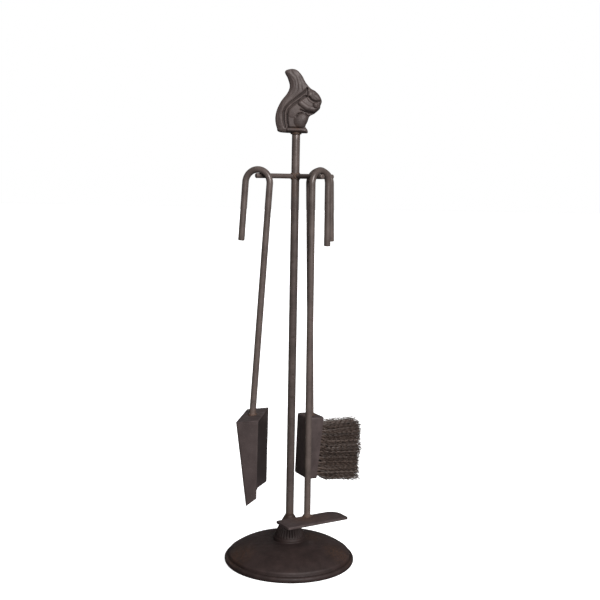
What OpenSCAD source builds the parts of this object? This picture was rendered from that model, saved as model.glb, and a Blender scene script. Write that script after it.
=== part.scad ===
// Fireplace tool set: a cast stand with a four-armed hanger, a shovel, a brush and an ash rake.
// Origin: the post's axis on the floor. +Z is up and -Y is the front.
// Each tool hangs by its bent rod on one arm of the hanger, and lifts off it.

/* [Base] */
// Radius of the round base
base_r = 82.5; // [75:0.5:95]
// Height of the base's rim bead
rim_h = 8; // [6:0.5:9]
// Height of the dome where it meets the raised ring
dome_h = 28.5; // [26:0.5:30]
// Wall thickness of the casting
wall = 5; // [4:0.5:6]
// Height of the top of the boss, which the post stands on
boss_h = 61; // [56:0.5:66]

/* [Post and hanger] */
// Diameter of the post
post_d = 10; // [9:0.5:11]
// Height of the top of the post
post_top = 542; // [520:1:560]
// Height of the middle of the hanger arms
hanger_z = 489.5; // [470:0.5:500]
// Diameter of a hanger arm
arm_d = 6; // [5:0.5:7]
// Reach of an arm from the post's axis
arm_reach = 57.5; // [56:0.5:65]
// Turn of the arm that holds the brush
arm_turn = 35; // [30:1:40]

/* [Tool rods] */
// Diameter of a tool's rod
rod_d = 8; // [7:0.5:8.5]
// Radius of the rod's hook at the middle of the rod
bend_r = 16; // [15:0.5:18]
// Gap left between a hook and its arm
hang_gap = 0.3; // [0.2:0.05:0.5]

/* [Shovel] */
// Width of the pan
pan_w = 75; // [65:1:80]
// Depth of the pan at its back plate
pan_depth = 27.5; // [24:0.5:30]
// Length of the pan's floor
pan_l = 103.5; // [90:1:106]
// Length of the pan's rims
rim_l = 95; // [85:0.5:98]
// Height of the side walls at the front
front_h = 14; // [10:0.5:16]
// Thickness of the sheet
sheet = 1.5; // [1.2:0.1:2]

/* [Brush] */
// Width of the bristle holder, from cheek to cheek
holder_w = 34; // [30:1:36]
// Depth of the holder, from its spine to its mouth
holder_depth = 21.5; // [19:0.5:24]
// Length of the holder
holder_l = 80.5; // [70:0.5:84]
// Reach of the bristles beyond the mouth
bristle_reach = 59; // [50:0.5:64]

/* [Rake] */
// Length of the rake's blade
blade_l = 85; // [70:1:88]
// Width of the blade
blade_w = 30; // [24:1:32]
// Thickness of the blade
blade_t = 3; // [2:0.5:4]

/* [Hidden] */
$fn = 64;
post_r = post_d / 2;
arm_r = arm_d / 2;
rod_r = rod_d / 2;
skin = 0.1;          // the smallest gap between two pieces that don't touch
spigot_r = 4;        // threaded end of the post, under the boss
washer_r = 11;
washer_t = 2;
nut_af = 13;         // nut, across its flats
nut_h = 6.5;
finial_t = 22;       // thickness of the cast squirrel
finial_edge = 15;    // thickness that its outline keeps at the edge

// Colours of the finishes
iron_tone = "#3f3634";
steel_tone = "#443a37";
weld_tone = "#57402f";
zinc_tone = "#9a9a96";
wood_tone = "#8a6b45";
bristle_tone = "#3a2e2a";

// Each tool is [arm turn, place along the arm, hook turn, lean, rod length, leg length].
// The hook turns from the rod to the free leg, and the lean swings the lower end towards -X.
shovel = [arm_turn + 180, 55, 158, 3.5, 282.5, 71];
brush = [arm_turn, 37.5, -34, -1.4, 297, 72];
rake = [arm_turn + 270, 52.5, 52.5, -0.2, 404, 75];
pan_turn = -7.6;     // the way that the pan's open side faces
pan_tilt = -7.4;
holder_turn = 27;    // the way that the bristles point
holder_tilt = 1.9;
blade_turn = 31.5;

// ---- Frames of the tools ----

// The middle of a tool's hook bend
function hook_centre(tool) =
    [tool[1] * cos(tool[0]), tool[1] * sin(tool[0]), hanger_z + arm_r + hang_gap - (bend_r - rod_r)];

// The lower end of a tool's rod, on its axis
function rod_foot(tool) =
    let (x = -bend_r * cos(tool[2]), y = -bend_r * sin(tool[2]), z = -tool[4], lean = tool[3])
    hook_centre(tool) + [x * cos(lean) + z * sin(lean), y, z * cos(lean) - x * sin(lean)];

module at_hook(tool) {
    translate(hook_centre(tool)) rotate([0, tool[3], 0]) rotate([0, 0, tool[2]]) children();
}

// A working head stands on its rod's foot: x points to its open side, z up to the rod.
module at_head(tool, turn, tilt) {
    translate(rod_foot(tool)) rotate([0, 0, turn]) rotate([0, tilt, 0]) children();
}

module under_head() {
    translate([-60, -60, -60]) cube([120, 120, 60]);
}

// ---- Stand ----

dome_r = 82;                           // radius of the dome's arc
dome_in = 27.5;                        // where the dome is level, at the raised ring
function dome_z(r, d) = dome_h - dome_r + sqrt(pow(dome_r - d, 2) - pow(r - dome_in, 2));
ring_r = 20.5;                         // raised ring round the foot of the boss
ring_top = 33.5;
bell_r = 19;                           // foot of the boss's bell
collar_r = 6;                          // top of the bell, round the post
bell_top = boss_h - 1;

module base_casting() {
    foot_cut = 2.2;
    dome = [for (i = [0:16]) let (r = base_r - 3.5 - i * (base_r - 3.5 - dome_in) / 16) [r, dome_z(r, 0)]];
    bell = [for (t = [0:0.125:1])
        [bell_r - (bell_r - collar_r) * pow(t, 1.15), ring_top + (bell_top - ring_top) * t]];
    inside = [for (i = [0:12]) let (r = dome_in + i * (base_r - wall - dome_in) / 12) [r, dome_z(r, wall)]];
    color(iron_tone)
        rotate_extrude($fn = 120)
            polygon(concat(
                [[base_r - wall, 0], [base_r - foot_cut, 0], [base_r, foot_cut], [base_r, rim_h - 3]],
                [[base_r - 1, rim_h - 0.6], [base_r - 2.4, rim_h + 0.4], [base_r - 3, rim_h + 0.4]],
                dome,
                [[ring_r, dome_h], [ring_r, ring_top - 1.2], [ring_r - 0.8, ring_top]],
                bell,
                [[collar_r - 0.8, boss_h], [spigot_r + skin, boss_h]],
                [[spigot_r + skin, dome_h - wall]],
                inside));
}

module base_washer() {
    color(zinc_tone)
        translate([0, 0, dome_h - wall - washer_t])
            difference() {
                cylinder(r = washer_r, h = washer_t);
                translate([0, 0, -1]) cylinder(r = spigot_r + skin, h = washer_t + 2);
            }
}

module base_nut() {
    color(zinc_tone)
        translate([0, 0, dome_h - wall - washer_t - nut_h])
            difference() {
                cylinder(r = nut_af / sqrt(3), h = nut_h, $fn = 6);
                translate([0, 0, -1]) cylinder(r = spigot_r + skin / 2, h = nut_h + 2);
            }
}

module post() {
    spigot_l = boss_h - (dome_h - wall - washer_t - nut_h) + 2;
    color(steel_tone) {
        translate([0, 0, boss_h]) cylinder(r = post_r, h = post_top - boss_h);
        translate([0, 0, boss_h - spigot_l]) cylinder(r = spigot_r, h = spigot_l + 1);
    }
}

// An arm is coped to the post, and its free end is slightly rounded.
module arm(turn) {
    tip = 1;
    color(steel_tone)
        rotate([0, 0, turn])
            difference() {
                union() {
                    translate([0, 0, hanger_z]) rotate([0, 90, 0]) cylinder(r = arm_r, h = arm_reach - tip);
                    translate([arm_reach - tip, 0, hanger_z])
                        rotate([0, 90, 0]) cylinder(r1 = arm_r, r2 = arm_r - tip, h = tip);
                }
                translate([0, 0, hanger_z - 10]) cylinder(r = post_r, h = 20);
            }
}

// Weld beads round the post, over and under the arms
module hanger_weld() {
    leg = 2.6;
    color(weld_tone)
        translate([0, 0, hanger_z])
            for (side = [0, 1])
                mirror([0, 0, side])
                    rotate_extrude()
                        polygon([[post_r, arm_r], [post_r + leg, arm_r], [post_r, arm_r + leg]]);
}

// Outline of the squirrel, from the heel round by the tail, the head, the paws and the toes
squirrel = [[-20, 1], [-23.5, 6], [-25.5, 16], [-24, 26.5], [-19, 37.5], [-11.5, 47.5], [-8.5, 56],
    [-11, 65.5], [-14.5, 73.5], [-7, 76.5], [0, 75], [6, 69], [10.5, 61], [16.5, 54], [22.5, 50.5],
    [27.5, 45.5], [30.5, 39], [29, 33.5], [28, 29.5], [22, 24], [16, 20.5], [13.5, 14], [11, 8],
    [13.5, 4], [13, 0], [0, 0]];

// A smooth closed curve through a list of points
function curve(p, steps = 5) =
    let (n = len(p))
    [for (i = [0:n - 1]) for (j = [0:steps - 1])
        let (t = j / steps, a = p[(i + n - 1) % n], b = p[i], c = p[(i + 1) % n], d = p[(i + 2) % n])
        let (square = 2 * a - 5 * b + 4 * c - d, cube = 3 * b - a - 3 * c + d)
        0.5 * (2 * b + (c - a) * t + square * t * t + cube * t * t * t)];

module finial_slab(inset, thickness) {
    rotate([90, 0, 0])
        linear_extrude(height = thickness, center = true)
            intersection() {
                offset(delta = -inset) polygon(curve(squirrel));
                translate([-50, 0]) square([100, 100]);
            }
}

// The cast figure, thicker in the middle than at its outline. It stands on the end of the post.
module finial_squirrel() {
    color(iron_tone)
        translate([0, 0, post_top]) {
            finial_slab(0, finial_edge);
            finial_slab(2.5, finial_t);
        }
}

module finial_weld() {
    leg = 2.5;
    color(weld_tone)
        translate([0, 0, post_top])
            rotate_extrude()
                polygon([[post_r, -leg], [post_r + leg, 0], [post_r, 0]]);
}

// ---- Rods ----

module hook_rod(tool) {
    chamfer = 0.6;
    at_hook(tool) {
        rotate([90, 0, 0]) rotate_extrude(angle = 180, $fn = 96) translate([bend_r, 0]) circle(r = rod_r);
        translate([bend_r, 0, -tool[5] + chamfer]) cylinder(r = rod_r, h = tool[5] - chamfer);
        translate([bend_r, 0, -tool[5]]) cylinder(r1 = rod_r - chamfer, r2 = rod_r, h = chamfer);
        translate([-bend_r, 0, -tool[4] - rod_r]) cylinder(r = rod_r, h = tool[4] + rod_r);
    }
}

// A rod is cut off in the plane of the sheet that it's welded to.
module tool_rod(tool, turn, tilt) {
    color(steel_tone)
        difference() {
            hook_rod(tool);
            at_head(tool, turn, tilt) under_head();
        }
}

module tool_weld(tool, turn, tilt, leg) {
    lip = 0.3;
    color(weld_tone)
        difference() {
            at_head(tool, turn, tilt)
                translate([0, 0, -leg / 2])
                    cylinder(r1 = rod_r + 1.5 * leg, r2 = rod_r + lip, h = 1.5 * leg);
            at_head(tool, turn, tilt) under_head();
            at_hook(tool) translate([-bend_r, 0, -tool[4] - 20]) cylinder(r = rod_r, h = 60);
        }
}

// ---- Shovel ----

floor_x = -pan_depth / 2;

// Side view of the pan: the rims run in towards the floor, and the front corner is cut off.
module pan_side(inset) {
    polygon([[floor_x + inset, -inset], [floor_x + pan_depth + inset, -inset],
        [floor_x + front_h + inset, -rim_l - inset], [floor_x + inset, -pan_l - inset]]);
}

// The floor and both side walls, folded from one sheet
module shovel_pan() {
    color(steel_tone)
        at_head(shovel, pan_turn, pan_tilt)
            difference() {
                rotate([90, 0, 0]) linear_extrude(height = pan_w, center = true)
                    difference() {
                        pan_side(0);
                        translate([floor_x - 1, -sheet]) square([pan_depth + 2, sheet + 1]);
                    }
                translate([floor_x + sheet, -pan_w / 2 + sheet, -pan_l - 1])
                    cube([pan_depth, pan_w - 2 * sheet, pan_l + 2]);
            }
}

module shovel_back() {
    color(steel_tone)
        at_head(shovel, pan_turn, pan_tilt)
            translate([floor_x, -pan_w / 2, -sheet]) cube([pan_depth, pan_w, sheet]);
}

// ---- Brush ----

spine_x = -11;       // the rod stands this far in front of the holder's spine
heel_r = 4;          // rounding where the spine turns under
mouth_cut = 6;       // the mouth is this much shallower at the lower end

module holder_side(inset, reach) {
    heel = [for (a = [180:15:270])
        [spine_x + heel_r + (heel_r - inset) * cos(a), -holder_l + heel_r + (heel_r - inset) * sin(a)]];
    polygon(concat([[spine_x + holder_depth + reach, -inset], [spine_x + inset, -inset]], heel,
        [[spine_x + holder_depth - mouth_cut + reach, -holder_l + inset]]));
}

module brush_holder() {
    color(steel_tone)
        at_head(brush, holder_turn, holder_tilt)
            rotate([90, 0, 0])
                difference() {
                    linear_extrude(height = holder_w, center = true) holder_side(0, 0);
                    linear_extrude(height = holder_w - 2 * sheet, center = true) holder_side(sheet, 5);
                }
}

block_face = 2;      // the wooden core fills the holder up to this plane

module brush_block() {
    color(wood_tone)
        at_head(brush, holder_turn, holder_tilt)
            rotate([90, 0, 0])
                linear_extrude(height = holder_w - 2 * sheet - 2 * skin, center = true)
                    intersection() {
                        holder_side(sheet + skin, 0);
                        translate([spine_x, -holder_l]) square([block_face - spine_x, holder_l]);
                    }
}

// The bristles stand in the core and hang down a little towards their tips.
module brush_bristles() {
    tip_x = spine_x + holder_depth + bristle_reach;
    mouth_x = spine_x + holder_depth - mouth_cut;
    top = -11;
    low = -holder_l + sheet + 0.5;
    sag = 4;
    color(bristle_tone)
        at_head(brush, holder_turn, holder_tilt)
            rotate([90, 0, 0])
                linear_extrude(height = holder_w - 2 * sheet - 1, center = true)
                    polygon([[block_face + skin, top], [tip_x, top - sag / 2], [tip_x, low - sag - 2],
                        [tip_x - 8, low - sag - 3], [mouth_x + 12, low - sag], [mouth_x + 1, low],
                        [block_face + skin, low]]);
}

// ---- Rake ----

// A quarter circle, clockwise from an angle
function quarter(middle, r, from) = [for (a = [from:-15:from - 90]) middle + r * [cos(a), sin(a)]];

// Seen from above: the rod stands at the middle of the back edge, whose right-hand corner is well rounded.
module rake_blade() {
    edge = blade_l / 2;
    back = rod_r - 1;
    front = back - blade_w;
    small = 2;
    big = 14;
    color(steel_tone)
        at_head(rake, blade_turn, 0)
            translate([0, 0, -blade_t])
                linear_extrude(height = blade_t)
                    polygon(concat(
                        quarter([-edge + small, back - small], small, 180),
                        quarter([edge - big, back - big], big, 90),
                        quarter([edge - small, front + small], small, 0),
                        quarter([-edge + small, front + small], small, -90)));
}

base_casting();
base_washer();
base_nut();
post();
arm(shovel[0]);  // arm_shovel
arm(brush[0]);  // arm_brush
arm(rake[0]);  // arm_rake
arm(arm_turn + 90);  // arm_spare
hanger_weld();
finial_squirrel();
finial_weld();
tool_rod(shovel, pan_turn, pan_tilt);  // shovel_rod
shovel_pan();
shovel_back();
tool_weld(shovel, pan_turn, pan_tilt, 2.5);  // shovel_weld
tool_rod(brush, holder_turn, holder_tilt);  // brush_rod
brush_holder();
brush_block();
brush_bristles();
tool_weld(brush, holder_turn, holder_tilt, 2);  // brush_weld
tool_rod(rake, blade_turn, 0);  // rake_rod
rake_blade();
tool_weld(rake, blade_turn, 0, 3);  // rake_weld
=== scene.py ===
"""Looks of the fireplace tool set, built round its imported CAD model.

Shapes are worked out in millimetres, and make_piece turns them into metres. The camera, the lights and the
floor are in metres.
"""
import math
import random

import bmesh
import bpy
import numpy as np
from mathutils import Matrix, Vector, geometry, noise


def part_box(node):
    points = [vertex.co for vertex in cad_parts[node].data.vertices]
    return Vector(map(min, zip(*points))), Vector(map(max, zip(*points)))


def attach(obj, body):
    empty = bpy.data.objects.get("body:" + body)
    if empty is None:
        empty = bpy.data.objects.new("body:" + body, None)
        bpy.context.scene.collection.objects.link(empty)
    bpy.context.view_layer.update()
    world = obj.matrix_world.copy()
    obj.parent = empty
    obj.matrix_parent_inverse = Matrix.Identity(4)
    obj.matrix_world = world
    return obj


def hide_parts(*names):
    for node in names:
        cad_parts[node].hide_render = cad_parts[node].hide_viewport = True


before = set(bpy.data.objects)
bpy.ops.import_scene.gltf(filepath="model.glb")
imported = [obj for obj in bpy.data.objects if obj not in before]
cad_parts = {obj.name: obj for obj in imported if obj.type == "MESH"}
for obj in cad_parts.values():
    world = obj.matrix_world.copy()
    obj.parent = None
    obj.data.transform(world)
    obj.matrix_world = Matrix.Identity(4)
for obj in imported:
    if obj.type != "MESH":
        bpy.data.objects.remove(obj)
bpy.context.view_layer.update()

MM = 0.001
UP = Vector((0, 0, 1))

# Sizes of the stand
BASE_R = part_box("base_casting")[1].x / MM
BOSS_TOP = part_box("base_casting")[1].z / MM
POST_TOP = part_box("post")[1].z / MM
POST_R = 5
SPIGOT_R = 4
WALL = 5
DOME_H = 28.5
DOME_ARC_R = 82
DOME_LEVEL_R = 27.5
ARM_R = 3
ARM_REACH = 57.5
HANGER_Z = sum(corner.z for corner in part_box("arm_spare")) / 2 / MM
# Directions of the arms in degrees, seen from above
ARM_TURNS = {"arm_shovel": 215, "arm_brush": 35, "arm_rake": 305, "arm_spare": 125}

# Sizes of the tools
BAR_SIDES = 32
ROD_R = 4
BEND_R = 16
HANG_GAP = 0.3
SHEET = 1.5
# For each tool, its arm's direction and the hook's place along that arm, the direction from the rod to the
# hook's free leg, the rod's lean, the lengths of rod and leg below the bend, and the head's turn and tilt
TOOLS = {
    "shovel": dict(arm=215, place=55, hook=158, lean=3.5, length=282.5, leg=71, turn=-7.6, tilt=-7.4),
    "brush": dict(arm=35, place=37.5, hook=-34, lean=-1.4, length=297, leg=72, turn=27, tilt=1.9),
    "rake": dict(arm=305, place=52.5, hook=52.5, lean=-0.2, length=404, leg=75, turn=31.5, tilt=0),
}


def rotation(degrees, axis):
    return Matrix.Rotation(math.radians(degrees), 4, axis)


def hook_frame(tool):
    """Middle of the hook's bend; -X is the rod's side and +X the free leg's."""
    arm = math.radians(tool["arm"])
    height = HANGER_Z + ARM_R + HANG_GAP - (BEND_R - ROD_R)
    middle = Vector((tool["place"] * math.cos(arm), tool["place"] * math.sin(arm), height))
    return Matrix.Translation(middle) @ rotation(tool["lean"], "Y") @ rotation(tool["hook"], "Z")


def head_frame(tool):
    """The rod's foot on the working head; X is the head's open side."""
    foot = hook_frame(tool) @ Vector((-BEND_R, 0, -tool["length"]))
    return Matrix.Translation(foot) @ rotation(tool["turn"], "Z") @ rotation(tool["tilt"], "Y")


# ---------------------------------------------------------------- camera, light and floor

def make_camera():
    """Level with the hanger, in front of the post, looking a little down at the whole set."""
    data = bpy.data.cameras.new("camera")
    data.sensor_width = 36
    data.lens = 63.1
    cam = bpy.data.objects.new("camera", data)
    bpy.context.scene.collection.objects.link(cam)
    place = (0.0084, -1.3029, 0.490)
    pitch, roll = 83.27, 1.01
    cam.matrix_world = Matrix.Translation(place) @ rotation(pitch, "X") @ rotation(roll, "Z")
    bpy.context.scene.camera = cam


def aim(light, place, target):
    """Adds a light to the scene at a place, turned to a target."""
    bpy.context.scene.collection.objects.link(light)
    light.location = place
    light.rotation_euler = (Vector(target) - Vector(place)).to_track_quat("-Z", "Y").to_euler()


def area_light(name, place, target, size, power):
    """Round lamp with a soft edge to its shadows."""
    data = bpy.data.lights.new(name, "AREA")
    data.shape = "DISK"
    data.size = size
    data.energy = power
    aim(bpy.data.objects.new(name, data), place, target)


def map_range(tree, value, low, high, to_low, to_high):
    """Turns a value from low to high into one from to_low to to_high."""
    node = tree.nodes.new("ShaderNodeMapRange")
    for label, number in zip(("From Min", "From Max", "To Min", "To Max"), (low, high, to_low, to_high)):
        node.inputs[label].default_value = number
    tree.links.new(value, node.inputs["Value"])
    return node.outputs["Result"]


def dot_product(tree, vector, direction):
    """How far a vector reaches along a direction."""
    node = tree.nodes.new("ShaderNodeVectorMath")
    node.operation = "DOT_PRODUCT"
    node.inputs[1].default_value = direction
    tree.links.new(vector, node.inputs[0])
    return node.outputs["Value"]


def make_world():
    """A white room that gives more light from the front, the right and above."""
    white = (1, 1, 1, 1)
    brightest = (0.3, -0.4, 0.7)
    world = bpy.data.worlds.new("studio")
    world.use_nodes = True
    tree = world.node_tree
    nodes, links = tree.nodes, tree.links
    sky = nodes["Background"]
    sky.inputs["Color"].default_value = white
    lean = dot_product(tree, nodes.new("ShaderNodeTexCoord").outputs["Generated"], brightest)
    links.new(map_range(tree, lean, -0.6, 0.9, 0.03, 0.36), sky.inputs["Strength"])
    wall = nodes.new("ShaderNodeBackground")
    wall.inputs["Color"].default_value = white
    rays = nodes.new("ShaderNodeLightPath")
    both = nodes.new("ShaderNodeMixShader")
    links.new(rays.outputs["Is Camera Ray"], both.inputs["Fac"])
    links.new(sky.outputs["Background"], both.inputs[1])
    links.new(wall.outputs["Background"], both.inputs[2])
    links.new(both.outputs["Shader"], nodes["World Output"].inputs["Surface"])
    bpy.context.scene.world = world


def sun_light(name, place, angle, power, shines):
    """Soft sunlight from a place towards the origin, with reflections of it only if it shines."""
    data = bpy.data.lights.new(name, "SUN")
    data.energy = power
    data.angle = math.radians(angle)
    lamp = bpy.data.objects.new(name, data)
    lamp.visible_glossy = shines
    aim(lamp, place, (0, 0, 0))


def make_floor():
    """Large, evenly bright pale floor that sends no light back up to the object."""
    half = 14
    mesh = bpy.data.meshes.new("floor")
    corners = [(-half, -half, 0), (half, -half, 0), (half, half, 0), (-half, half, 0)]
    mesh.from_pydata(corners, [], [(0, 1, 2, 3)])
    floor = bpy.data.objects.new("floor", mesh)
    bpy.context.scene.collection.objects.link(floor)
    mat = bpy.data.materials.new("floor_pale")
    mat.use_nodes = True
    shader = mat.node_tree.nodes["Principled BSDF"]
    shader.inputs["Base Color"].default_value = (0.93, 0.93, 0.93, 1)
    shader.inputs["Roughness"].default_value = 0.9
    shader.inputs["Specular IOR Level"].default_value = 0.2
    shader.inputs["Emission Color"].default_value = (1, 1, 1, 1)
    shader.inputs["Emission Strength"].default_value = 0.8
    mesh.materials.append(mat)
    floor.visible_diffuse = False
    floor.visible_glossy = False


def make_studio():
    """Soft light from the front right, a low one from behind and a small lamp, over a pale floor."""
    bpy.context.scene.view_settings.view_transform = "Standard"
    make_world()
    sun_light("sun", place=(0.5, -1.1, 0.65), angle=30, power=3.5, shines=True)
    sun_light("back_fill", place=(-0.4, 1.2, 0.05), angle=40, power=3, shines=False)
    area_light("side", place=(0.35, -1.4, 0.8), target=(0, 0, 0.35), size=0.3, power=8)
    make_floor()


# ---------------------------------------------------------------- materials

class Look:
    """A node material, with short ways to add the usual nodes."""

    def __init__(self, name, roughness, metallic=0.0, specular=0.5):
        self.material = bpy.data.materials.new(name)
        self.material.use_nodes = True
        self.tree = self.material.node_tree
        self.nodes = self.tree.nodes
        self.links = self.tree.links
        self.shader = self.nodes["Principled BSDF"]
        self.shader.inputs["Roughness"].default_value = roughness
        self.shader.inputs["Metallic"].default_value = metallic
        self.shader.inputs["Specular IOR Level"].default_value = specular
        self.place = self.nodes.new("ShaderNodeTexCoord").outputs["Object"]

    def stretched(self, scale):
        """Object coordinates multiplied by a scale, so that noise runs long where the scale is small."""
        node = self.nodes.new("ShaderNodeMapping")
        node.inputs["Scale"].default_value = scale
        self.links.new(self.place, node.inputs["Vector"])
        return node.outputs["Vector"]

    def noise(self, size, detail=3.0, roughness=0.55, vector=None):
        """Noise whose features are about size millimetres across."""
        node = self.nodes.new("ShaderNodeTexNoise")
        node.inputs["Scale"].default_value = 1 / (size * MM)
        node.inputs["Detail"].default_value = detail
        node.inputs["Roughness"].default_value = roughness
        self.links.new(vector or self.place, node.inputs["Vector"])
        return node.outputs["Fac"]

    def remap(self, value, low, high, to_low=0.0, to_high=1.0):
        return map_range(self.tree, value, low, high, to_low, to_high)

    def math(self, operation, a, b):
        """Math node of two values, each a number or a socket."""
        node = self.nodes.new("ShaderNodeMath")
        node.operation = operation
        for socket, value in zip(node.inputs, (a, b)):
            if isinstance(value, (int, float)):
                socket.default_value = value
            else:
                self.links.new(value, socket)
        return node.outputs["Value"]

    def mix(self, factor, a, b):
        """Mixes two colours, each a tuple or a socket."""
        node = self.nodes.new("ShaderNodeMix")
        node.data_type = "RGBA"
        self.links.new(factor, node.inputs["Factor"])
        for label, value in (("A", a), ("B", b)):
            socket = [s for s in node.inputs if s.name == label and s.type == "RGBA"][0]
            if isinstance(value, tuple):
                socket.default_value = (*value, 1)
            else:
                self.links.new(value, socket)
        return [s for s in node.outputs if s.type == "RGBA"][0]

    def near(self, spot, reach):
        """1 at a place given in millimetres, falling to 0 at that reach."""
        node = self.nodes.new("ShaderNodeVectorMath")
        node.operation = "DISTANCE"
        node.inputs[1].default_value = [c * MM for c in spot]
        self.links.new(self.place, node.inputs[0])
        return self.remap(node.outputs["Value"], 0.25 * reach * MM, reach * MM, 1, 0)

    def bump(self, heights):
        """heights is a list of (socket, depth in millimetres)."""
        normal = None
        for value, depth in heights:
            node = self.nodes.new("ShaderNodeBump")
            node.inputs["Distance"].default_value = depth * MM
            node.inputs["Strength"].default_value = 1
            self.links.new(value, node.inputs["Height"])
            if normal:
                self.links.new(normal, node.inputs["Normal"])
            normal = node.outputs["Normal"]
        self.links.new(normal, self.shader.inputs["Normal"])

    def finish(self, color, roughness=None):
        """Connects the colour and the roughness, and gives back the material."""
        self.links.new(color, self.shader.inputs["Base Color"])
        if roughness:
            self.links.new(roughness, self.shader.inputs["Roughness"])
        return self.material


RUST = (0.105, 0.047, 0.02)


def shade(color, factor):
    """A colour made lighter or darker."""
    return tuple(factor * c for c in color)


def coated(name, dark, light, roughness, grain, depth, stains=(), hollow_shade=0.3, painted_shadow=None):
    """Satin bronze-brown coat: mottled colour, fine grain, edges rubbed paler and painted shade darkening the
    hollows.

    grain is the size of the grain and depth its height. Each stain is a rust spot: its place and its reach.
    A painted shadow is a place, a reach and a direction, and it darkens only the surfaces there that face
    that way.
    """
    look = Look(name, roughness, metallic=0.1, specular=0.3)
    cloud = look.remap(look.noise(16, detail=5), 0.36, 0.66)
    color = look.mix(cloud, dark, light)
    speckle = look.remap(look.noise(1.1, detail=2), 0.56, 0.74, 0, 0.5)
    color = look.mix(speckle, color, shade(light, 1.7))
    pointed = look.nodes.new("ShaderNodeNewGeometry").outputs["Pointiness"]
    rubbed = look.remap(pointed, 0.515, 0.6, 0, 0.55)
    worn = look.math("MULTIPLY", rubbed, look.remap(look.noise(5), 0.35, 0.6))
    color = look.mix(worn, color, shade(light, 2.1))
    # Painted shade: colour darkened in the hollows, which are found by pointiness
    color = look.mix(look.remap(pointed, 0.40, 0.49, hollow_shade, 0), color, shade(dark, 0.3))
    # Painted shadow: darker colour near a place, only on the surfaces that face one way
    if painted_shadow:
        spot, reach, direction = painted_shadow
        near = look.remap(look.near(spot, reach), 0, 0.7, 0, 0.88)
        normal = look.nodes.new("ShaderNodeTexCoord").outputs["Normal"]
        facing = look.remap(dot_product(look.tree, normal, direction), 0.1, 0.5)
        color = look.mix(look.math("MULTIPLY", near, facing), color, shade(dark, 0.3))
    for spot, reach in stains:
        patchy = look.remap(look.noise(2.6, detail=5), 0.38, 0.7, 0, 0.42)
        color = look.mix(look.math("MULTIPLY", look.near(spot, reach), patchy), color, RUST)
    fine = 0.35
    look.bump([(look.noise(grain, detail=4), depth), (look.noise(fine * grain, detail=2), fine * depth)])
    uneven = look.noise(7, detail=4)
    return look.finish(color, look.remap(uneven, 0.3, 0.7, roughness - 0.07, roughness + 0.09))


def zinc_plated():
    """Plated steel with a faint yellowish bloom."""
    look = Look("zinc_plated", 0.35, metallic=0.9)
    color = look.mix(look.remap(look.noise(3, detail=5), 0.35, 0.65), (0.4, 0.4, 0.38), (0.56, 0.55, 0.5))
    look.bump([(look.noise(0.8), 0.02)])
    return look.finish(color, look.remap(look.noise(2), 0.3, 0.7, 0.28, 0.45))


def bare_wood():
    """Unfinished wood whose grain runs along Z."""
    look = Look("bare_wood", 0.65)
    grain = look.noise(2, detail=6, vector=look.stretched((1, 1, 0.08)))
    look.bump([(grain, 0.15)])
    return look.finish(look.mix(look.remap(grain, 0.35, 0.65), (0.23, 0.13, 0.06), (0.4, 0.26, 0.13)))


def coarse_fibre():
    """Each bristle has its own shade of dark brown."""
    look = Look("coarse_fibre", 0.55, specular=0.35)
    own = look.nodes.new("ShaderNodeNewGeometry").outputs["Random Per Island"]
    color = look.mix(look.remap(own, 0, 1), (0.016, 0.0105, 0.0085), (0.085, 0.058, 0.047))
    color = look.mix(look.remap(look.noise(4, detail=3), 0.45, 0.75, 0, 0.6), color, (0.1, 0.07, 0.055))
    look.bump([(look.noise(0.6, vector=look.stretched((0.3, 0.3, 1))), 0.03)])
    return look.finish(color)


WELDS = {name: head_frame(tool).translation for name, tool in TOOLS.items()}
WELDS["finial"] = Vector((0, 0, POST_TOP))
WELDS["hanger"] = Vector((0, 0, HANGER_Z))
WELDS["foot"] = Vector((0, 0, BOSS_TOP))

# Rust spots as (place, reach)
IRON_RUST = [((-62, -30, 14), 28), ((62, -22, 15), 26), ((30, 10, 30), 22), (WELDS["foot"], 15)]
FIGURE_RUST = [((0, -8, POST_TOP + 4), 8)]
BAR_RUST = [(WELDS["hanger"] - 14 * UP, 14), (WELDS["finial"], 9), (WELDS["foot"], 16)]
BAR_RUST += [(WELDS[name], 13) for name in TOOLS]
SHEET_RUST = [(WELDS[name], 12) for name in ("shovel", "brush")]
SHEET_RUST += [(WELDS["rake"] + Vector((shift, 0, 0)), 30) for shift in (-14, 2)]
WELD_RUST = [(spot, 12) for spot in WELDS.values()]
# Painted shadow inside the shovel's pan, on the faces there that look to the front
PAN_PAINTED_SHADOW = (head_frame(TOOLS["shovel"]) @ Vector((0, 42, -55)), 72, (0.5, -0.85, 0))

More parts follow.
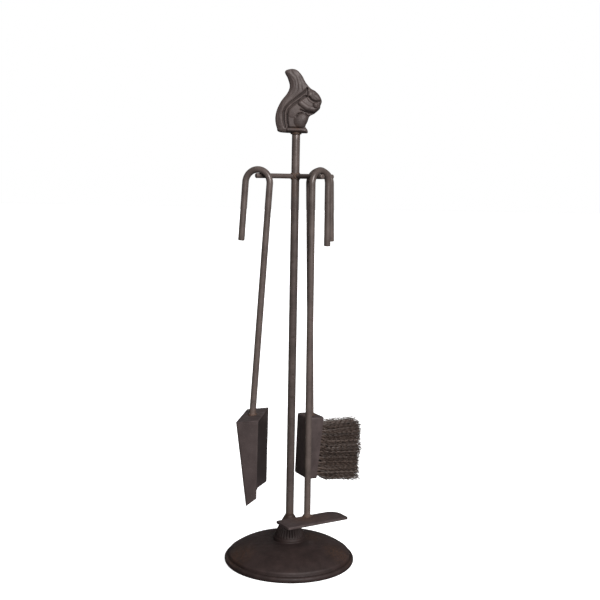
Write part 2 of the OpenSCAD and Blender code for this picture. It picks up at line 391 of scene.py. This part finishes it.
# Each look's material, and the record's material slot that it belongs to
LOOKS = {
    "iron": (coated("cast_iron_coat", (0.0175, 0.0102, 0.0092), (0.030, 0.0180, 0.0165),
                    roughness=0.6, grain=1.3, depth=0.16, stains=IRON_RUST), "cast_iron_bronze"),
    # The figure gets strong painted shade in its grooves
    "figure": (coated("cast_figure_coat", (0.046, 0.0335, 0.0310), (0.074, 0.0555, 0.0510),
                      roughness=0.5, grain=1.0, depth=0.1, stains=FIGURE_RUST, hollow_shade=0.85),
               "cast_iron_bronze"),
    "bar": (coated("bar_coat", (0.066, 0.0500, 0.0450), (0.098, 0.0755, 0.068),
                   roughness=0.32, grain=0.9, depth=0.05, stains=BAR_RUST), "steel_bronze"),
    "sheet": (coated("sheet_coat", (0.040, 0.0285, 0.0275), (0.057, 0.0415, 0.0400),
                     roughness=0.5, grain=1.1, depth=0.05, stains=SHEET_RUST, painted_shadow=PAN_PAINTED_SHADOW), "sheet_bronze"),
    "weld": (coated("weld_coat", (0.045, 0.030, 0.024), (0.075, 0.048, 0.036),
                    roughness=0.55, grain=0.8, depth=0.12, stains=WELD_RUST), "weld_bronze"),
    "zinc": (zinc_plated(), "zinc_steel"),
    "wood": (bare_wood(), "block_wood"),
    "fibre": (coarse_fibre(), "bristle_fibre"),
}


# ---------------------------------------------------------------- mesh helpers

def make_piece(name, shape, look, body, nodes, place=None, sharp=40, round_edges=0.0):
    """Makes a piece from (points, faces) in millimetres, in the look and on the body named.

    It replaces the CAD nodes. Edges bent by more than the angle sharp stay crisp, or round_edges bevels them.
    """
    points, faces = shape
    bm = bmesh.new()
    verts = [bm.verts.new((place @ Vector(p) if place else Vector(p)) * MM) for p in points]
    for face in faces:
        if len(set(face)) > 2:
            bm.faces.new([verts[i] for i in face])
    bmesh.ops.remove_doubles(bm, verts=bm.verts, dist=0.004 * MM)
    bmesh.ops.recalc_face_normals(bm, faces=bm.faces)
    if round_edges:
        edges = [e for e in bm.edges if e.is_manifold and e.calc_face_angle() > math.radians(sharp)]
        bmesh.ops.bevel(bm, geom=edges, offset=round_edges * MM, segments=3, profile=0.5, affect="EDGES",
                        clamp_overlap=True)
    mesh = bpy.data.meshes.new(name)
    bm.to_mesh(mesh)
    bm.free()
    mesh.shade_smooth()
    mesh.set_sharp_from_angle(angle=math.radians(sharp))
    piece = bpy.data.objects.new(name, mesh)
    bpy.context.scene.collection.objects.link(piece)
    mesh.materials.append(LOOKS[look][0])
    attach(piece, body)
    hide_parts(*nodes)
    return piece


def joined(shapes):
    """Several shapes as one."""
    points, faces = [], []
    for some_points, some_faces in shapes:
        start = len(points)
        points += some_points
        faces += [tuple(start + i for i in face) for face in some_faces]
    return points, faces


def moved(shape, place):
    """A shape carried to a place."""
    return [place @ Vector(p) for p in shape[0]], shape[1]


def ring_faces(rings, sides, closed):
    """Faces between rings of points; if closed, the last ring joins the first."""
    faces = []
    for i in range(rings if closed else rings - 1):
        here, there = i * sides, (i + 1) % rings * sides
        for j in range(sides):
            k = (j + 1) % sides
            faces.append((here + j, here + k, there + k, there + j))
    return faces


def sweep(path, radius, sides=BAR_SIDES, hub=None):
    """Round bar along a path. radius is a number, or a function of the ring's and the side's numbers.

    A hub is the middle of a path that closes on itself.
    """
    points = []
    count = len(path)
    side = None
    for i, spot in enumerate(path):
        before = path[i - 1] if hub or i > 0 else spot
        after = path[(i + 1) % count] if hub or i < count - 1 else spot
        along = (after - before).normalized()
        if hub:
            side = spot - hub
        elif side is None:
            side = along.orthogonal()
        side = (side - along * side.dot(along)).normalized()
        across = along.cross(side)
        for j in range(sides):
            turn = math.tau * j / sides
            r = radius(i, j) if callable(radius) else radius
            points.append(spot + r * (math.cos(turn) * side + math.sin(turn) * across))
    faces = ring_faces(count, sides, closed=bool(hub))
    if not hub:
        faces.append(tuple(range(sides)))
        faces.append(tuple(range((count - 1) * sides, count * sides)))
    return points, faces


def lathe(profile, segments, shape=None):
    """Ring-shaped body turned about the post's axis from a closed profile of (radius, height).

    shape may change each (radius, height) by its turn round the axis.
    """
    points = []
    for i in range(segments):
        turn = math.tau * i / segments
        for radius, height in profile:
            if shape:
                radius, height = shape(radius, height, turn)
            points.append(Vector((radius * math.cos(turn), radius * math.sin(turn), height)))
    return points, ring_faces(segments, len(profile), closed=True)


def arc(middle, radius, start, end, steps):
    """Points of an arc between two angles in degrees."""
    turns = [math.radians(start + (end - start) * i / steps) for i in range(steps + 1)]
    return [(middle[0] + radius * math.cos(t), middle[1] + radius * math.sin(t)) for t in turns]


def prism(points):
    """Solid between two outlines, which are the first and the second half of the points."""
    count = len(points) // 2
    sides = [(i, (i + 1) % count, count + (i + 1) % count, count + i) for i in range(count)]
    return points, sides + [tuple(range(count)), tuple(range(count, 2 * count))]


def plate(outline, thickness):
    """Flat plate under z = 0 with an outline in the XY plane."""
    return prism([Vector((x, y, z)) for z in (0, -thickness) for x, y in outline])


def bead(radius, height, thickness, seed, steps=72):
    """Weld bead round an upright bar: a ring with ripples, uneven in thickness."""
    path = []
    for i in range(steps):
        turn = math.tau * i / steps
        swell = 1 + 0.07 * noise.noise(Vector((3 * math.cos(turn), 3 * math.sin(turn), seed)))
        path.append(Vector((radius * swell * math.cos(turn), radius * swell * math.sin(turn), height)))

    def thick(i, j):
        ripple = 0.1 * abs(math.sin(math.pi * i / 5 + 0.25 * math.sin(math.tau * j / 12)))
        return thickness * (0.9 + ripple + 0.22 * noise.noise(0.9 * path[i] + Vector((0.3 * j, seed, 0))))

    return sweep(path, thick, sides=12, hub=Vector((0, 0, height)))


# ---------------------------------------------------------------- stand

RING_R = 20.5
RING_TOP = 33.5
BELL_R = 19
COLLAR_R = 6
RIBS = 28


def dome_z(radius, depth):
    """Height of the dome at a radius, that deep under its surface."""
    return DOME_H - DOME_ARC_R + math.sqrt((DOME_ARC_R - depth) ** 2 - (radius - DOME_LEVEL_R) ** 2)


def base_casting():
    """Domed iron casting with a rim bead over a groove, a raised ring and a ribbed bell."""
    bell_top = BOSS_TOP - 1
    inner = BASE_R - WALL
    rim = [(inner, 0)] + arc((BASE_R - 3.9, 4), 4, -88, 0, 8)[:-1] + arc((BASE_R - 3.1, 4.6), 3.1, 0, 105, 10)
    groove = [(BASE_R - 4.3, 7.5), (BASE_R - 4.7, 7.4), (BASE_R - 4.9, 8.2), (BASE_R - 5.0, 10.0)]
    dome = [(r, dome_z(r, 0)) for r in np.linspace(BASE_R - 5.4, DOME_LEVEL_R, 44)]
    ring = [(RING_R + 1, DOME_H), (RING_R + 0.3, DOME_H + 0.2), (RING_R, DOME_H + 0.8),
            (RING_R + 0.2, DOME_H + 1.8), (RING_R + 0.2, RING_TOP - 2), (RING_R - 0.1, RING_TOP - 0.8),
            (RING_R - 0.7, RING_TOP - 0.1), (RING_R - 1.2, RING_TOP), (BELL_R - 0.1, RING_TOP - 0.5)]
    bell = []
    for t in np.linspace(0.02, 1, 34):
        bell.append((BELL_R - (BELL_R - COLLAR_R) * t ** 1.15, RING_TOP + (bell_top - RING_TOP) * t))
    top = [(COLLAR_R - 0.2, BOSS_TOP - 0.6), (COLLAR_R - 0.6, BOSS_TOP - 0.1), (COLLAR_R - 0.9, BOSS_TOP),
           (SPIGOT_R + 0.1, BOSS_TOP), (SPIGOT_R + 0.1, DOME_H - WALL)]
    inside = [(r, dome_z(r, WALL)) for r in np.linspace(DOME_LEVEL_R, inner, 26)]

    def shape(radius, height, turn):
        """Uneven casting, true only in the bore and at the foot, with valleys between the bell's ribs."""
        foot_h, valley_share = 2.7, 0.075
        spot = Vector((radius * math.cos(turn), radius * math.sin(turn), height))
        uneven = 0.16 * noise.noise(0.05 * spot) + 0.05 * noise.noise(0.4 * spot)
        if radius <= SPIGOT_R + 0.2 or height < foot_h:
            return radius, height
        if RING_TOP < height < BOSS_TOP - 0.9 and radius < BELL_R:
            fade = min(1, (height - RING_TOP) / 2.5, (bell_top - height) / 5)
            valley = 1 - abs(math.sin(RIBS * turn / 2)) ** 0.8
            return radius * (1 - valley_share * max(0, fade) * valley) + uneven, height
        return radius, height + uneven

    return lathe(rim + groove + dome + ring + bell + top + inside, 8 * RIBS, shape)


def post():
    """Round bar whose thin lower end is threaded for the nut."""
    low, pitch, thread_depth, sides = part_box("post")[0].z / MM, 1.25, 0.55, 40
    heights = [low + 0.2 * i for i in range(80)]
    threaded = len(heights)
    heights += [30, 45, BOSS_TOP - 1, BOSS_TOP, BOSS_TOP + 0.02, BOSS_TOP + 0.5]
    plain = len(heights)
    heights += list(np.linspace(BOSS_TOP + 4, POST_TOP - 0.7, 60)) + [POST_TOP]

    def radius(i, j):
        if i < threaded:
            lead = min(1, i / 6)
            phase = (heights[i] / pitch - j / sides) % 1
            return SPIGOT_R - 0.05 - (thread_depth * abs(2 * phase - 1) + 0.5 * (1 - lead))
        if i < plain - 2:
            return SPIGOT_R - 0.05
        if i == plain - 2 or i == len(heights) - 1:
            return POST_R - 0.5
        spot = Vector((0.1 * heights[i], 0.4 * math.cos(math.tau * j / sides), 0))
        return POST_R + 0.03 * noise.noise(spot)

    return sweep([Vector((0, 0, z)) for z in heights], radius, sides)


def washer():
    low, high = (corner.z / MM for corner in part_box("base_washer"))
    outer, hole, edge = 11, SPIGOT_R + 0.1, 0.3
    profile = [(hole, low + edge), (hole + edge, low), (outer - edge, low), (outer, low + edge),
               (outer, high - edge), (outer - edge, high), (hole + edge, high), (hole, high - edge)]
    return lathe(profile, 64)


def nut():
    """Hexagon nut, chamfered at both faces."""
    low, high = (corner.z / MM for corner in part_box("base_nut"))
    half, hole, edge = 6.5, SPIGOT_R + 0.05, 0.5
    profile = [(hole, low + edge), (hole + edge, low), (half - 0.2, low), (half, low),
               (half, high), (half - 0.2, high), (hole + edge, high), (hole, high - edge)]

    def hexagon(radius, height, turn):
        if radius < half:
            return radius, height
        reach = half / math.cos((turn + math.pi / 6) % (math.pi / 3) - math.pi / 6)
        chamfer = max(0, reach - half) * 0.6 + 0.1
        return reach, low + chamfer if height == low else high - chamfer

    return lathe(profile, 96, hexagon)


def arm(turn):
    """Round bar from inside the post to a slightly rounded tip."""
    reaches = [POST_R - 1, 12, 24, 36, 48, ARM_REACH - 0.9, ARM_REACH - 0.45, ARM_REACH - 0.12, ARM_REACH]
    radii = [ARM_R] * 6 + [ARM_R - 0.15, ARM_R - 0.5, ARM_R - 0.95]
    bar = sweep([Vector((x, 0, HANGER_Z)) for x in reaches], lambda i, j: radii[i])
    return moved(bar, rotation(turn, "Z"))


def arm_bead(turn, seed):
    """Weld bead along the seam of an arm and the post."""
    seam_r, around_r, steps = ARM_R + 0.4, POST_R + 0.3, 54
    path = []
    for i in range(steps):
        y, z = seam_r * math.cos(math.tau * i / steps), seam_r * math.sin(math.tau * i / steps)
        path.append(Vector((math.sqrt(around_r ** 2 - y ** 2), y, HANGER_Z + z)))

    def thick(i, j):
        ripple = 0.1 * abs(math.sin(math.pi * i / 4))
        return 0.95 + ripple + 0.3 * noise.noise(0.8 * path[i] + Vector((0, 0.3 * j, seed)))

    return moved(sweep(path, thick, sides=10, hub=Vector((around_r, 0, HANGER_Z))), rotation(turn, "Z"))


# ---------------------------------------------------------------- squirrel

# Outline of the figure, from the heel round by the tail, the head, the paws and the toes
SQUIRREL = [(-20, 1), (-23.5, 6), (-25.5, 16), (-24, 26.5), (-19, 37.5), (-11.5, 47.5), (-8.5, 56),
            (-11, 65.5), (-14.5, 73.5), (-7, 76.5), (0, 75), (6, 69), (10.5, 61), (16.5, 54), (22.5, 50.5),
            (27.5, 45.5), (30.5, 39), (29, 33.5), (28, 29.5), (22, 24), (16, 20.5), (13.5, 14), (11, 8),
            (13.5, 4), (13, 0), (0, 0)]
TAIL = [(-9.5, 72), (-3, 62), (-1.5, 54), (-8, 45), (-15.5, 35), (-19.5, 24), (-18.5, 10)]
BODY = [(4, 8), (2, 18), (1, 27), (5, 35), (13, 40), (21, 43)]
# Rounded masses: middle line, radius, and how far they stand out
MASSES = [
    ([(20.5, 44), (24.5, 42)], 8, 2.2),
    ([(14.2, 51), (14.6, 46)], 3.2, 1.2),
    ([(-4, 27), (3, 33), (10, 35)], 9, 1.2),
    ([(5, 36), (13, 30), (22, 28), (27, 31.5)], 3.6, 2.2),
    ([(22.8, 33.2), (23.2, 33.2)], 3, 2.6),
    ([(5.5, 14.5), (7.5, 15.5)], 8.5, 2.2),
    ([(-9, 3), (11.5, 3)], 3.2, 2),
    ([(20, 49), (27, 43)], 3.5, 0.5),
]
# Grooves: line, width and depth
GROOVES = [
    ([(12.5, 53), (8.5, 48.5), (-0.5, 41.5), (-9, 35), (-13.5, 30), (-16, 24), (-15.6, 15),
      (-13.5, 7)], 1.2, 2.5),
    ([(11.5, 44), (8.8, 43.2), (2.4, 38.6), (-4.8, 33.2), (-10, 27.5), (-11.4, 22), (-11.4, 14),
      (-10, 7)], 1.2, 2.4),
    ([(12.7, 54), (12.7, 46.5)], 0.8, 1.8),
    ([(15, 43), (18, 39.6), (21, 38), (25, 37.4), (30, 38.5)], 1.0, 2.2),
    ([(22, 46.4), (23.4, 47), (24.8, 46.2)], 0.7, 0.9),
    ([(5, 27.5), (9.6, 25.2), (15.3, 24), (20.5, 24)], 1.0, 2.0),
    ([(0, 19.5), (2.4, 22.6), (6, 24), (10.6, 23.2), (13.5, 20)], 0.9, 2.0),
    ([(-10, 6.4), (0, 6.2), (10.5, 6.6)], 0.7, 1.3),
    ([(8.5, 3.6), (12.6, 3.4)], 0.4, 0.6),
]
# Half of the figure's thickness at its edge and inside, and the width over which it grows
EDGE_HALF = 5.2
FULL_HALF = 8.2
CROWN_W = 8.5


def smooth_curve(points, steps):
    """Closed Catmull-Rom curve through the points."""
    result = []
    for i in range(len(points)):
        a, b, c, d = (np.array(points[(i + k) % len(points)], float) for k in (-1, 0, 1, 2))
        for t in np.arange(steps) / steps:
            result.append(0.5 * (2 * b + (c - a) * t + (2 * a - 5 * b + 4 * c - d) * t ** 2
                                 + (3 * b - a - 3 * c + d) * t ** 3))
    return [(x, max(z, 0)) for x, z in result]


def distance_to(x, z, path, closed=False):
    """Distance of each place to a line through the path's points."""
    ends = list(path[1:]) + ([path[0]] if closed else [])
    best = np.full(x.shape, 1e9)
    for (ax, az), (bx, bz) in zip(path, ends):
        length = (bx - ax) ** 2 + (bz - az) ** 2
        t = np.clip(((x - ax) * (bx - ax) + (z - az) * (bz - az)) / max(length, 1e-9), 0, 1)
        best = np.minimum(best, np.hypot(x - ax - t * (bx - ax), z - az - t * (bz - az)))
    return best


def squirrel_half_thickness(x, z, outline):
    """Crowned figure with raised masses, grooves between them, and long fur lines on the tail."""
    inset = distance_to(x, z, outline, closed=True)
    half = EDGE_HALF + (FULL_HALF - EDGE_HALF) * np.sqrt(1 - (1 - np.clip(inset / CROWN_W, 0, 1)) ** 2)
    for path, radius, rise in MASSES:
        mound = np.clip(1 - (distance_to(x, z, path) / radius) ** 2, 0, 1) ** 0.7
        half += rise * mound * np.clip(inset / 2, 0.3, 1)
    from_tail, from_body = distance_to(x, z, TAIL), distance_to(x, z, BODY)
    on_tail = np.clip((from_body - 1.1 * from_tail) / 3, 0, 1)
    rough = np.array([noise.noise(Vector((0.12 * a, 0.12 * b, 3))) for a, b in zip(x, z)])
    fur = np.sin(1.35 * from_tail + 3.5 * rough) * (0.8 + 0.6 * rough)
    half += 0.2 * on_tail * fur * np.clip(inset / 2.5, 0, 1)
    for path, width, depth in GROOVES:
        half -= depth * np.exp(-(distance_to(x, z, path) / width) ** 2) * np.clip(inset / 1.2, 0.35, 1)
    return half


def squirrel():
    """Cast figure, the same on both sides, with a parting line round its edge."""
    outline = smooth_curve(SQUIRREL, 22)
    kept = [outline[0]]
    for spot in outline[1:]:
        if math.dist(spot, kept[-1]) > 0.5 and math.dist(spot, kept[0]) > 0.3:
            kept.append(spot)
    outline, count = kept, len(kept)
    step = 0.6
    row_gap = 0.866 * step
    xs, zs = zip(*outline)
    grid = []
    for row in range(int((max(zs) - min(zs)) / row_gap)):
        for column in range(int((max(xs) - min(xs)) / step)):
            grid.append((min(xs) + step * (column + 0.5 * (row % 2)), min(zs) + row_gap * row))
    gx, gz = np.array(grid).T
    far = distance_to(gx, gz, outline, closed=True) > 0.55 * step
    flat = [Vector(p) for p in outline] + [Vector(p) for p, ok in zip(grid, far) if ok]
    flat, _, tris, origin, _, _ = geometry.delaunay_2d_cdt(flat, [], [list(range(count))], 1, 1e-5)
    x, z = np.array([tuple(p) for p in flat]).T
    half = squirrel_half_thickness(x, z, outline)
    front = [Vector((a, -h, b)) for a, b, h in zip(x, z, half)]
    back = [Vector((a, h, b)) for a, b, h in zip(x, z, half)]
    total = len(front)
    points = front + back
    faces = [tuple(t) for t in tris] + [tuple(total + i for i in t) for t in tris]
    place = {}
    for i, sources in enumerate(origin):
        for source in sources:
            place[source] = i
    rings = [[place[i] for i in range(count)]]
    for share, proud in ((-0.75, 0.12), (-0.12, 0.2), (-0.05, 0.45), (0.05, 0.45), (0.12, 0.2), (0.75, 0.12)):
        rings.append(list(range(len(points), len(points) + count)))
        for i in range(count):
            before, after = outline[i - 1], outline[(i + 1) % count]
            out = Vector((before[1] - after[1], 0, after[0] - before[0])).normalized()
            spot = front[place[i]]
            points.append(Vector((spot.x, -share * spot.y, spot.z)) + (proud - 0.2) * out)
    rings.append([total + place[i] for i in range(count)])
    for here, there in zip(rings, rings[1:]):
        faces += [(here[i], here[(i + 1) % count], there[(i + 1) % count], there[i]) for i in range(count)]
    return moved((points, faces), Matrix.Translation((0, 0, POST_TOP)))


# ---------------------------------------------------------------- tools

def hook_rod(tool):
    """Round bar: free leg, half-circle hook and long rod, cut off in the plane of its head."""
    to_world = hook_frame(tool)
    path = [Vector((BEND_R, 0, -tool["leg"] + z)) for z in (0, 0.15, 0.5, 1.0, 20, 40)]
    path += [Vector((x, 0, z)) for x, z in arc((0, 0), BEND_R, 0, 180, 40)]
    path += [Vector((-BEND_R, 0, z)) for z in np.linspace(-15, -tool["length"], 26)]
    ends = {0: ROD_R - 0.8, 1: ROD_R - 0.35, 2: ROD_R - 0.1}
    points, faces = sweep([to_world @ p for p in path], lambda i, j: ends.get(i, ROD_R))
    sunk = 0.4
    to_head = head_frame(tool)
    along = (to_world.to_3x3() @ UP).normalized()
    face_normal = (to_head.to_3x3() @ UP).normalized()
    for i in range(len(points) - BAR_SIDES, len(points)):
        gap = (points[i] - to_head.translation).dot(face_normal) + sunk
        points[i] = points[i] - along * (gap / along.dot(face_normal))
    return points, faces


PAN_W = 75
PAN_DEPTH = 27.5
PAN_L = 103.5
RIM_L = 95
FRONT_H = 14
FOLD_R = 2.4


def pan_row(height):
    """Section of the folded sheet as (outer, inner) pairs of (x, y), from one rim round to the other."""
    half, inner_r = PAN_W / 2, FOLD_R - SHEET
    wall_steps, fold_steps, floor_steps = 8, 6, 8
    bend = math.acos(1 - min(height, FOLD_R) / FOLD_R)
    wall = max(0.0, height - FOLD_R)
    row = []
    for k in range(wall_steps + 1):
        x = FOLD_R * (1 - math.cos(bend)) + wall * (1 - k / wall_steps)
        if wall > 0:
            row.append(((x, half), (x, half - SHEET)))
        else:
            outer = (x, half - FOLD_R * (1 - math.sin(bend)))
            inner = (FOLD_R - inner_r * math.cos(bend), half - FOLD_R + inner_r * math.sin(bend))
            row.append((outer, inner))
    for k in range(1, fold_steps + 1):
        a = bend * (1 - k / fold_steps)
        outer = (FOLD_R - FOLD_R * math.cos(a), half - FOLD_R + FOLD_R * math.sin(a))
        inner = (FOLD_R - inner_r * math.cos(a), half - FOLD_R + inner_r * math.sin(a))
        row.append((outer, inner))
    for k in range(1, floor_steps):
        y = (half - FOLD_R) * (1 - k / floor_steps)
        row.append(((0, y), (SHEET, y)))
    other = [((ox, -oy), (ix, -iy)) for (ox, oy), (ix, iy) in reversed(row)]
    return row + [((0, 0), (SHEET, 0))] + other


def shovel_pan():
    """Floor and side walls folded from one sheet; the front corners of the walls are cut off."""
    floor_x = -PAN_DEPTH / 2
    rows = []
    for z in list(np.linspace(SHEET, RIM_L, 30)) + list(np.linspace(RIM_L, PAN_L, 12))[1:]:
        height = PAN_DEPTH + (FRONT_H - PAN_DEPTH) * z / RIM_L
        if z > RIM_L:
            height = FRONT_H * (PAN_L - z) / (PAN_L - RIM_L)
        rows.append((-z, pan_row(max(height, 0.0))))
    points, faces = [], []
    width = len(rows[0][1])
    for z, row in rows:
        for layer in (0, 1):
            for pair in row:
                x, y = pair[layer]
                dent = 0.25 * noise.noise(Vector((0.03 * x, 0.03 * y, 0.03 * z)))
                points.append(Vector((floor_x + x + dent, y + (dent if y > 0 else -dent), z)))
    for i in range(len(rows) - 1):
        here, there = i * 2 * width, (i + 1) * 2 * width
        for j in range(width - 1):
            for layer in (0, width):
                a, b = here + layer + j, there + layer + j
                faces.append((a, a + 1, b + 1, b))
        for j in (0, width - 1):
            faces.append((here + j, here + width + j, there + width + j, there + j))
    for start in (0, (len(rows) - 1) * 2 * width):
        for j in range(start, start + width - 1):
            faces.append((j, j + 1, width + j + 1, width + j))
    return points, faces


def shovel_back():
    """Back plate, with its corners rounded like the pan's folds."""
    near, far, half = -PAN_DEPTH / 2, PAN_DEPTH / 2, PAN_W / 2
    soft, crisp = FOLD_R, 0.8
    outline = arc((near + soft, half - soft), soft, 180, 90, 6)
    outline += arc((far - crisp, half - crisp), crisp, 90, 0, 3)
    outline += arc((far - crisp, crisp - half), crisp, 0, -90, 3)
    outline += arc((near + soft, soft - half), soft, -90, -180, 6)
    return plate(outline, SHEET)


SPINE_X = -11
HOLDER_W = 34
HOLDER_DEPTH = 21.5
HOLDER_L = 80.5
CROWN_R = 2.5
HEEL_R = 4
MOUTH_CUT = 6


def holder_outline(inset):
    """Side view of the holder as (x, z), from the top of the mouth round by the spine to its lower end."""
    heel = arc((SPINE_X + HEEL_R, HEEL_R - HOLDER_L), HEEL_R - inset, 180, 270, 8)
    top = arc((SPINE_X + CROWN_R, -CROWN_R), CROWN_R - inset, 90, 180, 4)
    mouth = SPINE_X + HOLDER_DEPTH
    return [(mouth, -inset)] + top + heel + [(mouth - MOUTH_CUT, inset - HOLDER_L)]


def brush_holder():
    """Folded sheet box, open at the mouth: outer and inner shells joined by the mouth's rim."""
    points, faces = [], []
    fold = 2.2
    loops = []
    steps = 5
    for inset, half in ((0, HOLDER_W / 2), (SHEET, HOLDER_W / 2 - SHEET)):
        radius = max(0.4, fold - inset)
        shell = []
        for i in range(steps + 1):
            a = math.pi / 2 * i / steps
            shell.append((radius * (1 - math.cos(a)), half - radius * (1 - math.sin(a))))
        shell = [(deep, y) for deep, y in reversed(shell)]
        loop_sides = [(deep, -y) for deep, y in shell] + [(deep, y) for deep, y in reversed(shell)]
        start = len(points)
        for deep, y in loop_sides:
            for x, z in holder_outline(inset + deep):
                points.append(Vector((x, y, z)))
        loops.append((start, len(loop_sides), len(holder_outline(inset))))
    for start, sides, count in loops:
        for i in range(sides - 1):
            for j in range(count - 1):
                a = start + i * count + j
                faces.append((a, a + 1, a + count + 1, a + count))
        for i in (0, sides - 1):
            faces.append(tuple(start + i * count + j for j in range(count)))
    (outer, sides, count), (inner, _, _) = loops
    for j in (0, count - 1):
        for i in range(sides - 1):
            a, b = i * count + j, (i + 1) * count + j
            faces.append((outer + a, outer + b, inner + b, inner + a))
    for i in (0, sides - 1):
        a, b = i * count, i * count + count - 1
        faces.append((outer + a, outer + b, inner + b, inner + a))
    return points, faces


BLOCK_FACE = 2


def brush_block():
    """Wooden core that fills the back of the holder."""
    gap = 0.1
    half = HOLDER_W / 2 - SHEET - gap
    outline = [(min(x, BLOCK_FACE), z) for x, z in holder_outline(SHEET + gap)]
    return prism([Vector((x, y, z)) for y in (-half, half) for x, z in outline])


BRISTLE_L = 67.5


def brush_bristles():
    """Tufts of coarse crimped fibres, pinched where they leave the holder and ragged at their tips."""
    chance = random.Random(7)
    rows, columns, per_tuft, rings, sides = 10, 4, 56, 42, 3
    row_gap, column_gap, top_row = 7, 7.2, -13.2
    free_from, opens_from = 10, 11
    points, faces = [], []
    for tuft in range(rows * columns):
        row, column = divmod(tuft, columns)
        middle = ((column - (columns - 1) / 2) * column_gap, top_row - row_gap * row)
        tuft_phase, tuft_length = chance.uniform(0, 6), chance.uniform(-1.5, 1)
        for _ in range(per_tuft):
            turn, out = chance.uniform(0, math.tau), math.sqrt(chance.random())
            oy, oz = out * math.cos(turn), out * math.sin(turn)
            length = BRISTLE_L + tuft_length + chance.gauss(-0.6, 1.1)
            phase, wave = tuft_phase + chance.gauss(0, 0.8), chance.uniform(6.5, 8.5)
            crimp, thick = chance.uniform(0.5, 1.0), chance.uniform(0.34, 0.5)
            stray = (chance.gauss(0, 1.0), chance.gauss(0, 1.0))
            wander = chance.gauss(0, 0.035)
            start = len(points)
            for k in range(rings):
                x = BLOCK_FACE + length * k / (rings - 1)
                open_up = min(1, max(0, (x - opens_from) / 10)) ** 0.8
                bend = crimp * min(1, max(0, (x - free_from) / 8))
                y = middle[0] + (2.2 + 2.8 * open_up) * oy + stray[0] * open_up
                z = middle[1] + (2.1 + 2.9 * open_up) * oz + stray[1] * open_up
                droop = (0.5 - 0.45 * row) * (x / BRISTLE_L) ** 1.3
                z += droop - 3 * open_up + wander * max(0, x - free_from)
                y += bend * math.sin(math.tau * x / wave + phase + 1.5)
                z += bend * math.sin(math.tau * x / wave + phase)
                r = thick * (1 - 0.35 * k / rings)
                for side in range(sides):
                    a = math.tau * side / sides + turn
                    points.append(Vector((x, y + r * math.cos(a), z + r * math.sin(a))))
            fibre = ring_faces(rings, sides, closed=False)
            fibre += [tuple(range(sides)), tuple(range(sides * (rings - 1), sides * rings))]
            faces += [tuple(start + i for i in face) for face in fibre]
    return points, faces


def rake_blade():
    """Flat plate: the rod stands near its back edge, whose right-hand corner is well rounded."""
    edge, back, front, small, big = 42.5, 3, -27, 2, 14
    thickness = 3
    outline = arc((small - edge, back - small), small, 180, 90, 4)
    outline += arc((edge - big, back - big), big, 90, 0, 12)
    outline += arc((edge - small, front + small), small, 0, -90, 4)
    outline += arc((small - edge, front + small), small, -90, -180, 4)
    return plate(outline, thickness)


# ---------------------------------------------------------------- the whole set

make_camera()
make_studio()

make_piece("base_dome", base_casting(), "iron", "stand", ["base_casting"], sharp=50)
make_piece("base_washer_disc", washer(), "zinc", "stand", ["base_washer"])
make_piece("base_hex_nut", nut(), "zinc", "stand", ["base_nut"], sharp=25)
make_piece("post_bar", post(), "bar", "stand", ["post"], sharp=50)
for arm_name, arm_turn in ARM_TURNS.items():
    make_piece(arm_name + "_bar", arm(arm_turn), "bar", "stand", [arm_name])
hanger_beads = [arm_bead(turn, seed) for seed, turn in enumerate(ARM_TURNS.values())]
make_piece("hanger_weld_beads", joined(hanger_beads), "weld", "stand", ["hanger_weld"], sharp=60)
make_piece("squirrel_figure", squirrel(), "figure", "stand", ["finial_squirrel"], sharp=70)
finial_bead = bead(POST_R + 0.6, POST_TOP - 0.4, 1.3, seed=11)
make_piece("finial_weld_bead", finial_bead, "weld", "stand", ["finial_weld"], sharp=60)

for tool_name, tool in TOOLS.items():
    make_piece(tool_name + "_hook_rod", hook_rod(tool), "bar", tool_name, [tool_name + "_rod"])
for tool_name, thickness in (("shovel", 1.1), ("brush", 1.0), ("rake", 1.2)):
    ring = bead(ROD_R + 0.5, 0.3, thickness, seed=len(tool_name))
    make_piece(tool_name + "_weld_bead", ring, "weld", tool_name, [tool_name + "_weld"],
               place=head_frame(TOOLS[tool_name]), sharp=60)

at_shovel, at_brush, at_rake = (head_frame(TOOLS[name]) for name in ("shovel", "brush", "rake"))
make_piece("shovel_pan_sheet", shovel_pan(), "sheet", "shovel", ["shovel_pan"], at_shovel, round_edges=0.35)
make_piece("shovel_back_plate", shovel_back(), "sheet", "shovel", ["shovel_back"], at_shovel, round_edges=0.4)
make_piece("brush_holder_box", brush_holder(), "sheet", "brush", ["brush_holder"], at_brush, round_edges=0.3)
make_piece("brush_wood_block", brush_block(), "wood", "brush", ["brush_block"], at_brush, round_edges=0.6)
make_piece("brush_bristle_tufts", brush_bristles(), "fibre", "brush", ["brush_bristles"], at_brush, sharp=75)
make_piece("rake_blade_plate", rake_blade(), "sheet", "rake", ["rake_blade"], at_rake, round_edges=0.5)
